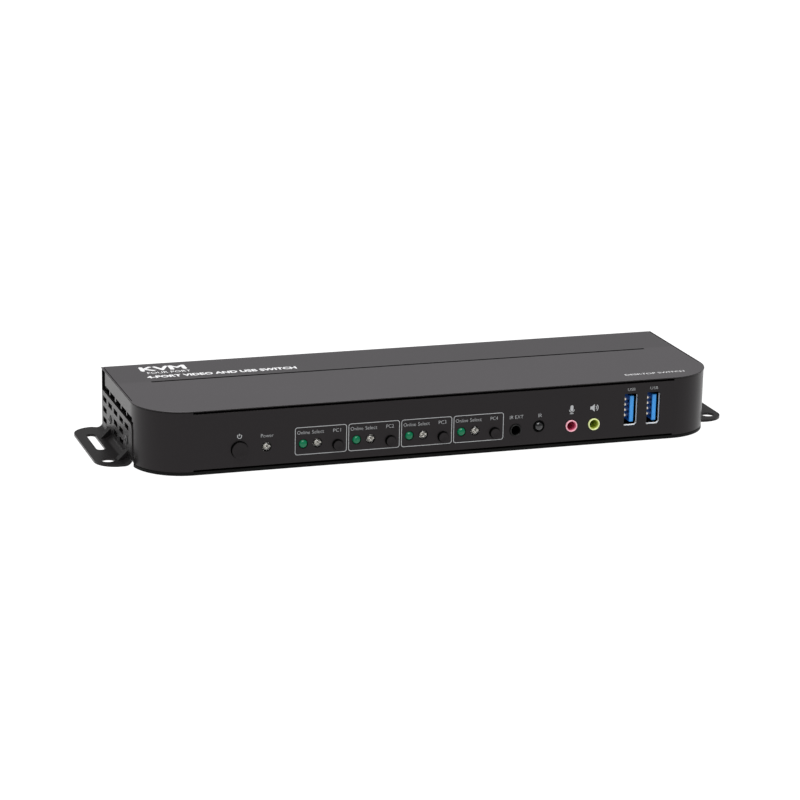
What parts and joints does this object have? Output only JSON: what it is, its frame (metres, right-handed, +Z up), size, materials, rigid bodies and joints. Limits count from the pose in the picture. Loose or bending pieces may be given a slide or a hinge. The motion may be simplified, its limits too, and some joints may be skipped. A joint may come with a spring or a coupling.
{
  "type": "kvm switch",
  "caption": "Flat desktop KVM switch: dark case with rounded front corners, side mounting ears, push buttons, indicator lamps, audio jacks and upright data sockets.",
  "frame": {"origin": "bottom centre of the whole object: on the plane that the mounting ears stand on, midway between the ears and midway between the front buttons and the rear sockets", "axes": "+X to the right as seen from the front, along the longest side; +Y from the front face to the rear; +Z up, square to the ears"},
  "size_m": [0.2768, 0.0771, 0.027],
  "materials": {
    "cover_satin": "fine satin powder coat, dark grey",
    "shell_black": "satin moulded black, fine grain",
    "tray_steel": "black coated steel sheet",
    "panel_black": "semi-gloss black",
    "bracket_steel": "fine textured black coat",
    "board_laminate": "green solder mask",
    "heatsink_alloy": "anodised",
    "screw_steel": "blackened steel",
    "button_black": "satin",
    "plunger_white": "satin",
    "switch_black": "matte",
    "lamp_clear": "water-clear epoxy",
    "lamp_green": "green tinted epoxy",
    "jack_black": "satin",
    "jack_pink": "glossy moulded",
    "jack_lime": "glossy moulded",
    "ir_lens": "dark tinted lens",
    "socket_metal": "bright plated sheet",
    "tongue_blue": "moulded blue",
    "terminal_green": "moulded green"
  },
  "bodies": {
    "case": {"top_cover": "cover_satin", "front_shell": "shell_black", "base_tray": "tray_steel", "rear_panel": "panel_black", "bracket_left": "bracket_steel", "bracket_right": "bracket_steel", "main_board": "board_laminate", "heatsink": "heatsink_alloy", "bracket_screw_left_front": "screw_steel", "bracket_screw_left_rear": "screw_steel", "rear_screw_left": "screw_steel", "bracket_screw_right_front": "screw_steel", "bracket_screw_right_rear": "screw_steel", "rear_screw_right": "screw_steel", "power_switch": "switch_black", "select_1_switch": "switch_black", "select_2_switch": "switch_black", "select_3_switch": "switch_black", "select_4_switch": "switch_black", "power_lamp": "lamp_clear", "online_lamp_1": "lamp_green", "select_lamp_1": "lamp_clear", "video_in_1": "socket_metal", "usb_in_1": "socket_metal", "online_lamp_2": "lamp_green", "select_lamp_2": "lamp_clear", "video_in_2": "socket_metal", "usb_in_2": "socket_metal", "online_lamp_3": "lamp_green", "select_lamp_3": "lamp_clear", "video_in_3": "socket_metal", "usb_in_3": "socket_metal", "online_lamp_4": "lamp_green", "select_lamp_4": "lamp_clear", "video_in_4": "socket_metal", "usb_in_4": "socket_metal", "ir_ext_jack": "jack_black", "mic_jack": "jack_pink", "headphone_jack": "jack_lime", "ir_receiver": "ir_lens", "front_usb_shell_1": "socket_metal", "front_usb_tongue_1": "tongue_blue", "front_usb_shell_2": "socket_metal", "front_usb_tongue_2": "tongue_blue", "video_out": "socket_metal", "rear_usb_stack": "socket_metal", "serial_terminal": "terminal_green", "dc_jack": "jack_black"},
    "power_key": {"power_button": "button_black", "power_plunger": "plunger_white"},
    "select_1_key": {"select_1_button": "button_black", "select_1_plunger": "plunger_white"},
    "select_2_key": {"select_2_button": "button_black", "select_2_plunger": "plunger_white"},
    "select_3_key": {"select_3_button": "button_black", "select_3_plunger": "plunger_white"},
    "select_4_key": {"select_4_button": "button_black", "select_4_plunger": "plunger_white"}
  },
  "joints": [
    {"name": "power_press", "type": "slide", "parent": "case", "child": "power_key", "axis": [0, 1, 0], "range_m": [0, 0.0006], "stiffness_N_per_m": 900, "springref_m": -0.0006},
    {"name": "select_1_press", "type": "slide", "parent": "case", "child": "select_1_key", "axis": [0, 1, 0], "range_m": [0, 0.0005], "stiffness_N_per_m": 900, "springref_m": -0.0006},
    {"name": "select_2_press", "type": "slide", "parent": "case", "child": "select_2_key", "axis": [0, 1, 0], "range_m": [0, 0.0005], "stiffness_N_per_m": 900, "springref_m": -0.0006},
    {"name": "select_3_press", "type": "slide", "parent": "case", "child": "select_3_key", "axis": [0, 1, 0], "range_m": [0, 0.0005], "stiffness_N_per_m": 900, "springref_m": -0.0006},
    {"name": "select_4_press", "type": "slide", "parent": "case", "child": "select_4_key", "axis": [0, 1, 0], "range_m": [0, 0.0005], "stiffness_N_per_m": 900, "springref_m": -0.0006}
  ]
}
